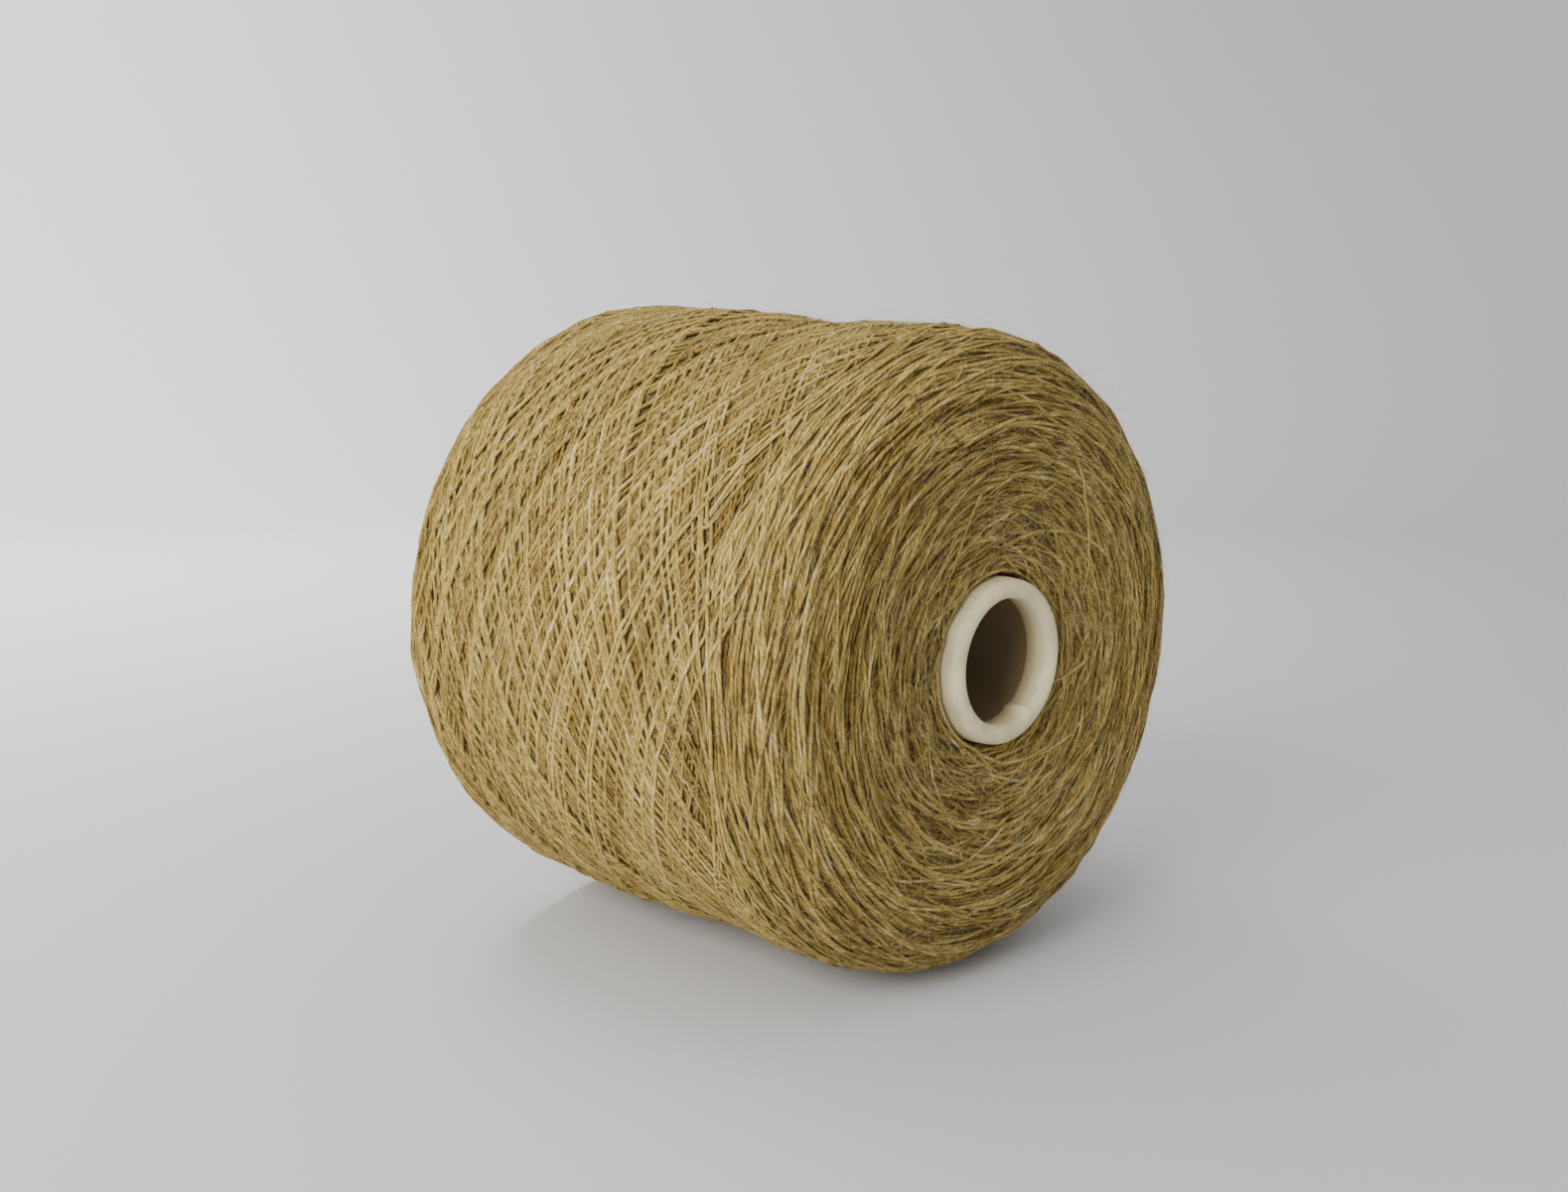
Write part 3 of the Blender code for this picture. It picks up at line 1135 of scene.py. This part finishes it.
@dataclass
class StrandSweep:
    """Turns lines on the surface into round strands with caps, by Geometry Nodes."""

    width: float
    sides: int = 6
    flatness: float = 0.82

    def tree(self) -> bpy.types.NodeTree:
        """Make the node group that sweeps a flattened ring along each line.

        Returns:
            The node group.
        """
        tree = bpy.data.node_groups.new("strand_sweep", "GeometryNodeTree")
        for direction in ("INPUT", "OUTPUT"):
            tree.interface.new_socket("Geometry", in_out=direction, socket_type="NodeSocketGeometry")
        entry = tree.nodes.new("NodeGroupInput").outputs[0]
        line = add_node(tree, "MeshToCurve", {"Mesh": entry})
        outward, gauge = (
            add_node(tree, "InputNamedAttribute", {"Name": name}, output="Attribute", data_type=kind)
            for name, kind in (("outward", "FLOAT_VECTOR"), ("gauge", "FLOAT"))
        )
        line = add_node(tree, "SetCurveNormal", {"Curve": line, "Normal": outward}, mode="FREE")
        ring = add_node(tree, "CurvePrimitiveCircle", {"Resolution": self.sides, "Radius": self.width / 2})
        part = add_node(tree, "SplineParameter", output="Factor")
        ring = add_node(
            tree, "StoreNamedAttribute", {"Geometry": ring, "Name": "around", "Value": part},
            data_type="FLOAT", domain="POINT",
        )
        ring = add_node(tree, "Transform", {
            "Geometry": ring, "Rotation": (0.0, 0.0, math.pi), "Scale": (self.flatness, 1.0, 1.0),
        })
        swept = add_node(tree, "CurveToMesh", {
            "Curve": line, "Profile Curve": ring, "Scale": gauge, "Fill Caps": True,
        })
        strand = add_node(tree, "SetShadeSmooth", {"Geometry": swept})
        feed(tree, tree.nodes.new("NodeGroupOutput"), {0: strand})
        return tree

    def line_mesh(self, lines: Sequence[Line]) -> bpy.types.Mesh:
        """Make a mesh of bare edges from lines, with their attributes.

        Args:
            lines: the lines.

        Returns:
            The mesh.
        """
        mesh = bpy.data.meshes.new("strand_lines")
        points = np.concatenate([line.points for line in lines])
        counts = [len(line.points) for line in lines]
        first = np.delete(np.arange(len(points) - 1), np.cumsum(counts)[:-1] - 1)
        mesh.from_pydata(points.tolist(), np.stack([first, first + 1], 1).tolist(), [])
        store(mesh, "outward", np.concatenate([line.outward for line in lines]))
        store(mesh, "along", np.concatenate([line.along() for line in lines]))
        store(mesh, "tint", np.repeat([line.tint for line in lines], counts))
        for name in ("gauge", "loose", "relief"):
            store(mesh, name, np.concatenate([getattr(line, name) for line in lines]))
        return mesh

    def sweep(self, lines: Sequence[Line]) -> bpy.types.Mesh:
        """Sweep the strand's section along every line.

        Args:
            lines: the lines.

        Returns:
            One mesh of all the strands.
        """
        mesh, tree = self.line_mesh(lines), self.tree()
        holder = bpy.data.objects.new("strand_lines", mesh)
        bpy.context.scene.collection.objects.link(holder)
        holder.modifiers.new("sweep", "NODES").node_group = tree
        shown = holder.evaluated_get(bpy.context.evaluated_depsgraph_get())
        solid = bpy.data.meshes.new_from_object(shown)
        bpy.data.objects.remove(holder)
        bpy.data.meshes.remove(mesh)
        bpy.data.node_groups.remove(tree)
        move_points(solid, press_flat(read_places(solid)))
        return solid


def thin_out(points: Array, fit: float) -> Array:
    """Pick the few points that keep a line's shape.

    Args:
        points: the line.
        fit: how far the thinned line may lie off it.

    Returns:
        Numbers of the points to keep, in order.
    """
    keep = {0, len(points) - 1}
    spans = [(0, len(points) - 1)]
    while spans:
        low, high = spans.pop()
        if high - low < 3:
            continue
        chord = points[high] - points[low]
        length = float(np.sqrt(chord @ chord)) + 1e-9
        between = points[low + 1:high] - points[low]
        off = between - (between @ chord / length ** 2)[:, None] * chord
        gap = np.einsum("ij,ij->i", off, off)
        worst = int(gap.argmax())
        if gap[worst] > fit ** 2:
            split = low + 1 + worst
            keep.add(split)
            spans += [(low, split), (split, high)]
    return np.array(sorted(keep))


class Region(Enum):
    """Regions of the wound surface, each a set of pieces."""

    BASE = "yarn_base"
    SIDE = "yarn_side"
    FACE = "yarn_face"


@dataclass
class VisibleStrands:
    """The strands that show, in pieces for the base, the side and the face."""

    winding: Winding
    base_edge: float = -2.0 * MM
    face_edge: float = 132.0 * MM
    fit_base: float = 0.25 * MM
    fit_side: float = 0.15 * MM
    loosening: Tuple[float, float] = (95.0 * MM, 130.0 * MM)
    uneven: float = 0.07
    side_gauge: float = 1.14
    face_gauge_loss: float = 0.14
    trough: float = 1.4 * MM
    ridge: float = 0.6 * MM
    most_faces: int = 85000

    def gather(self) -> Dict[Region, List[Line]]:
        """Collect the visible stretches of all strands, by region.

        Returns:
            The lines of each region.
        """
        winding = self.winding
        sets: Dict[Region, List[Line]] = {region: [] for region in Region}
        rise = winding.strand_thickness * 0.5 - winding.settle
        for course in winding.courses:
            for part in winding.shown_runs(course):
                path, height = course.path[part], course.height[part]
                middle = path[len(path) // 2]
                region = Region.SIDE if middle < self.face_edge else Region.FACE
                if middle < self.base_edge:
                    region = Region.BASE
                spots, outward = winding.surface.place(path, course.angle[part], height + rise)
                picks = thin_out(spots, self.fit_base if region is Region.BASE else self.fit_side)
                # Loose also deepens the painted shade on the strand's flanks.
                loose = np.interp(path[picks], self.loosening, (0.0, 1.0))
                gauge = course.gauge * winding.random.normal(1.0, self.uneven, len(picks))
                gauge = gauge * (self.side_gauge - self.face_gauge_loss * loose)
                # Relief sets the painted shade in the troughs.
                relief = np.clip((height[picks] + self.trough) / (self.trough + self.ridge), 0, 1)
                sets[region].append(Line(spots[picks], outward[picks], gauge, course.tint, loose, relief))
        return sets

    def split(self, lines: List[Line], sides: int) -> List[List[Line]]:
        """Split lines into sets that stay under the limit of faces.

        Args:
            lines: the lines.
            sides: faces round a strand.

        Returns:
            The smaller sets, in laying order.
        """
        faces = np.cumsum([len(line.points) * sides for line in lines])
        count = int(faces[-1] // self.most_faces) + 1
        bounds = np.searchsorted(faces, np.linspace(0, faces[-1], count + 1)[1:-1])
        return [lines[low:high] for low, high in zip([0, *bounds], [*bounds, len(lines)])]

    def build(self) -> None:
        """Make the pieces."""
        material = PliedMohair().make()
        sweep = StrandSweep(self.winding.strand_width)
        for region, lines in self.gather().items():
            for number, part in enumerate(self.split(lines, sweep.sides), 1):
                link_piece(f"{region.value}_{number}", sweep.sweep(part), material, "wound_yarn")


@dataclass
class DeepBody:
    """The deep yarn: the plain form, a little inside the visible strands, with their broad ridges."""

    winding: Winding
    depth: float = 1.15 * MM
    stride: int = 10
    bore_inset: float = 3.0 * MM
    steps: int = 180
    line_reach: float = 0.1 * MM
    most_rise: float = 1.5 * MM

    def build(self) -> None:
        """Turn the form's section, raise its outer face by the ground's height and press it on the table."""
        winding, surface = self.winding, self.winding.surface
        form = surface.form
        picks = np.arange(0, len(surface.paths), self.stride)
        station, radius = (surface.points[picks] - surface.normals[picks] * self.depth).T
        bore_ends = (
            form.face_end_station - self.bore_inset, form.side[0].station + form.base_dish + self.bore_inset
        )
        section = [*zip(station, radius), *((end, form.core_radius(end) + CORE_GAP) for end in bore_ends)]
        mesh = spin_section("yarn_under", section, (1, 0, 0), self.steps)
        stations, *sides = read_places(mesh).astype(float).T
        radii, angles = np.hypot(*sides), np.arctan2(*sides)
        nearest = np.hypot(stations[:, None] - station, radii[:, None] - radius).argmin(axis=1)
        paths = surface.paths[picks][nearest]
        on_line = np.hypot(stations - station[nearest], radii - radius[nearest]) < self.line_reach
        ground = winding.height_at(winding.ground, paths, angles)
        rise = np.where(on_line, np.clip(ground, -self.most_rise, self.most_rise), 0.0)
        along_n, out_n = surface.normals[picks][nearest].T
        spots = form.place(surface.foot, stations + rise * along_n, radii + rise * out_n, angles)
        move_points(mesh, press_flat(spots))
        store(mesh, "path", paths)
        link_piece("yarn_under", mesh, DeepYarn().make(), "wound_yarn")


@dataclass
class LooseHairs:
    """The loose hairs that stand a little off the yarn."""

    winding: Winding
    seed: int = 23
    count: int = 4000
    width: float = 0.11 * MM
    points: int = 6
    first_path: float = -8.0 * MM
    end_gap: float = 4.0 * MM
    crowding: float = 0.6
    # Shortest and longest hair, in millimetres.
    lengths: Tuple[float, float] = (5, 20)
    heading_spread: float = 0.5
    curl: float = 1.3
    mean_rise: float = 1.2 * MM
    lift: float = 0.1 * MM
    margin: float = 1.0 * MM
    least_radius: float = 25.0 * MM
    taper: float = 0.7

    def hair(self, chance: np.random.Generator) -> Line:
        """Lay one hair on the yarn.

        Args:
            chance: where its random numbers come from.

        Returns:
            The hair's line.
        """
        winding, surface = self.winding, self.winding.surface
        reach = surface.end - self.first_path - self.end_gap
        path = self.first_path + reach * chance.random() ** self.crowding
        angle = chance.uniform(0, FULL_TURN)
        step = chance.uniform(*self.lengths) * MM / (self.points - 1)
        part = np.linspace(0, 1, self.points)
        heading = chance.normal(0, self.heading_spread) + (math.pi if chance.random() < 0.5 else 0.0)
        heading = heading + chance.normal(0, self.curl) * part
        paths = path + np.cumsum(np.sin(heading)) * step
        radius = max(float(surface.radius(np.array([path]))[0]), self.least_radius)
        angles = angle + np.cumsum(np.cos(heading)) * step / radius
        paths = np.clip(paths, surface.start + self.margin, surface.end - self.margin)
        rise = chance.exponential(self.mean_rise) * np.sin(part * math.pi * chance.uniform(0.5, 1.0))
        bed = winding.height_at(winding.bed, paths, angles) - winding.settle
        spots, outward = surface.place(paths, angles, smooth(bed, 3) + rise + self.lift)
        ones = np.ones(self.points)
        return Line(spots, outward, 1.0 - self.taper * part, float(chance.random()), ones, ones)

    def build(self) -> None:
        """Make the piece."""
        chance = np.random.default_rng(self.seed)
        lines = [self.hair(chance) for _ in range(self.count)]
        mesh = StrandSweep(self.width, sides=3, flatness=1.0).sweep(lines)
        link_piece("yarn_loose_hairs", mesh, LooseMohair().make(), "wound_yarn")


@dataclass
class WoundYarn:
    """The yarn: the deep yarn, the visible strands over it and their loose hairs."""

    surface: Surface

    def build(self) -> None:
        """Wind the yarn and build its pieces."""
        winding = Winder(self.surface).wind()
        LOG.info("laid %d strands", len(winding.courses))
        DeepBody(winding).build()
        VisibleStrands(winding).build()
        LooseHairs(winding).build()


@dataclass
class PaperCore:
    """The tapered paper core, with its nose end rolled inwards."""

    surface: Surface
    wall: float = 2.8 * MM
    rim_radius: float = 2.8 * MM
    rim_steps: int = 16
    lip_length: float = 6.0 * MM
    lip_slope: float = 0.5 * MM
    lip_parts: Tuple[float, ...] = (0.25, 0.5, 0.75, 1.0)
    bore_steps: int = 12
    outside_steps: int = 20
    turn_steps: int = 160
    sharp_angle: float = math.radians(40)
    # The inside starts this far from the outer wall, and is full this much further in.
    skin: float = 1.2 * MM
    skin_fade: float = 1.5 * MM
    pleat_angle: float = math.radians(148)
    pleat_spread: float = math.radians(5)
    pleat_height: float = 1.6 * MM
    pleat_length: float = 12.0 * MM
    pleat_fade: float = 6.0 * MM
    # Painted shade in the bore is darkest this far in from the mouth.
    bore_shade_depth: float = 60.0 * MM

    def section(self) -> List[Tuple[float, float]]:
        """Closed section of the core.

        Returns:
            Station and radius of each point: outside, rolled rim, lip and bore.
        """
        form = self.surface.form
        base_station = form.core_nose_station - form.core_length
        rim_station = form.core_nose_station - self.rim_radius
        rim_centre = form.core_radius(rim_station) - self.rim_radius
        rim = [
            (rim_station + self.rim_radius * math.sin(turn), rim_centre + self.rim_radius * math.cos(turn))
            for turn in np.linspace(0.0, math.pi, self.rim_steps + 1)
        ]
        lip_end = rim_station - self.lip_length
        lip = [
            (rim_station + (lip_end - rim_station) * part, rim[-1][1] + self.lip_slope * part)
            for part in self.lip_parts
        ]
        bore = [
            (station, form.core_radius(station) - self.wall)
            for station in np.linspace(lip_end - self.lip_slope, base_station, self.bore_steps)
        ]
        outside = [
            (station, form.core_radius(station))
            for station in np.linspace(base_station, rim_station, self.outside_steps)[:-1]
        ]
        return [*outside, *rim, *lip, *bore]

    def build(self) -> None:
        """Turn the section, press the pleat into its lip and keep how deep in the bore each point lies."""
        form = self.surface.form
        mesh = spin_section("paper_core_shell", self.section(), (1, 0, 0), self.turn_steps)
        mesh.set_sharp_from_angle(angle=self.sharp_angle)
        places = read_places(mesh).astype(float)
        stations = places[:, 0]
        radius, angle = np.hypot(places[:, 1], places[:, 2]), np.arctan2(places[:, 1], places[:, 2])
        inside = np.clip((form.core_radius(stations) - radius - self.skin) / self.skin_fade, 0, 1)
        apart = np.abs((angle - self.pleat_angle + math.pi) % FULL_TURN - math.pi)
        pleat_start = form.core_nose_station - self.pleat_length
        near_mouth = np.clip((stations - pleat_start) / self.pleat_fade, 0, 1)
        pleat = self.pleat_height * np.exp(-(apart / self.pleat_spread) ** 2) * inside * near_mouth
        places[:, 1:] *= ((radius - pleat) / radius)[:, None]
        # How deep in the bore each point lies, which sets the painted shade there.
        depth = np.clip((form.core_nose_station - self.rim_radius - stations) / self.bore_shade_depth, 0, 1)
        spots = (
            self.surface.foot + places[:, :1] * form.along() + places[:, 2:] * form.upward()
            + places[:, 1:2] * ACROSS
        )
        move_points(mesh, spots)
        store(mesh, "bore_depth", depth * (inside > 0.5))
        link_piece("core_shell", mesh, WoundPaper().make(), "paper_core")


class Lamp(NamedTuple):
    """A soft square light, with its place and aim from the package along the camera's right, up and back."""

    name: str
    offset: Place
    side: float
    watts: float
    aim_at: Place = (0.0, 0.0, 0.0)


@dataclass
class Studio:
    """Pale seamless floor and backdrop, soft lights and the camera."""

    surface: Surface
    floor_radius: float = 1.5
    wall_height: float = 1.6
    sweep_radius: float = 0.9
    sweep_steps: int = 24
    turn_steps: int = 96
    lens_pixels: float = 1500.0
    sensor_width: float = 36.0
    azimuth: float = math.radians(43.47)
    elevation: float = math.radians(8.04)
    roll: float = math.radians(0.21)
    distance: float = 0.4874
    shift_right: float = 4.23 * MM
    shift_up: float = 6.25 * MM
    aim_station: float = 57.3 * MM
    lamps: Tuple[Lamp, ...] = (
        Lamp("key_light", (-0.74, 0.36, 1.03), 0.9, 21.5),
        Lamp("backdrop_light", (-0.6, 1.2, -0.5), 0.6, 42.0, (-1.6, 0.1, -1.4)),
    )
    room_colour: str = "E6E6E8"
    room_light: float = 1.18

    def __post_init__(self) -> None:
        """Work out the camera's right, up and back directions, and the point that it is placed from."""
        back = Vector((
            math.cos(self.azimuth) * math.cos(self.elevation),
            -math.sin(self.azimuth) * math.cos(self.elevation),
            math.sin(self.elevation),
        ))
        right = Vector((0, 0, 1)).cross(back).normalized()
        up = back.cross(right)
        turned = right * math.cos(self.roll) + up * math.sin(self.roll)
        self.axes = (turned, up * math.cos(self.roll) - right * math.sin(self.roll), back)
        self.aim = Vector(self.surface.foot + self.surface.form.along() * self.aim_station)

    def build_camera(self) -> None:
        """Place the camera at the photograph's view."""
        right, up, back = self.axes
        data = bpy.data.cameras.new("photo_camera")
        data.sensor_width = self.sensor_width
        data.lens = self.lens_pixels / PHOTO_WIDTH * self.sensor_width
        camera = bpy.data.objects.new("photo_camera", data)
        place = self.aim + back * self.distance + right * self.shift_right + up * self.shift_up
        camera.matrix_world = Matrix.Translation(place) @ Matrix(self.axes).transposed().to_4x4()
        bpy.context.scene.collection.objects.link(camera)
        bpy.context.scene.camera = camera

    def build_backdrop(self) -> None:
        """Turn the seamless floor and wall, and finish them."""
        sweep = [
            (self.floor_radius + self.sweep_radius * math.sin(turn), self.sweep_radius * (1 - math.cos(turn)))
            for turn in np.linspace(0, math.pi / 2, self.sweep_steps)[1:]
        ]
        top = (self.floor_radius + self.sweep_radius, self.sweep_radius + self.wall_height)
        section = [(0.0, 0.0), (self.floor_radius, 0.0), *sweep, top]
        mesh = spin_section("backdrop", section, (0, 0, 1), self.turn_steps, closed=False)
        mesh.materials.append(BackdropPaper().make())
        backdrop = bpy.data.objects.new("backdrop", mesh)
        bpy.context.scene.collection.objects.link(backdrop)

    def from_view(self, place: Place) -> Vector:
        """Turn a place along the camera's right, up and back into one in the frame."""
        right, up, back = self.axes
        return right * place[0] + up * place[1] + back * place[2]

    def add_lamp(self, lamp: Lamp) -> None:
        """Add a soft area light.

        Args:
            lamp: the light.
        """
        data = bpy.data.lights.new(lamp.name, "AREA")
        data.shape = "SQUARE"
        data.size = lamp.side
        data.energy = lamp.watts
        holder = bpy.data.objects.new(lamp.name, data)
        towards = self.from_view(lamp.offset)
        turn = (towards - self.from_view(lamp.aim_at)).to_track_quat("Z", "Y").to_matrix().to_4x4()
        holder.matrix_world = Matrix.Translation(self.aim + towards) @ turn
        bpy.context.scene.collection.objects.link(holder)

    def build(self) -> None:
        """Build the studio."""
        self.build_camera()
        self.build_backdrop()
        for lamp in self.lamps:
            self.add_lamp(lamp)
        world = bpy.data.worlds.new("soft_studio")
        world.use_nodes = True
        background = world.node_tree.nodes["Background"]
        feed(world.node_tree, background, {0: linear(self.room_colour), 1: self.room_light})
        bpy.context.scene.world = world


def main() -> None:
    """Build the package and its studio."""
    logging.basicConfig(level=logging.INFO, format="%(message)s")
    surface = Surface(PackageForm())
    Studio(surface).build()
    PaperCore(surface).build()
    WoundYarn(surface).build()


if __name__ == "__main__":
    main()
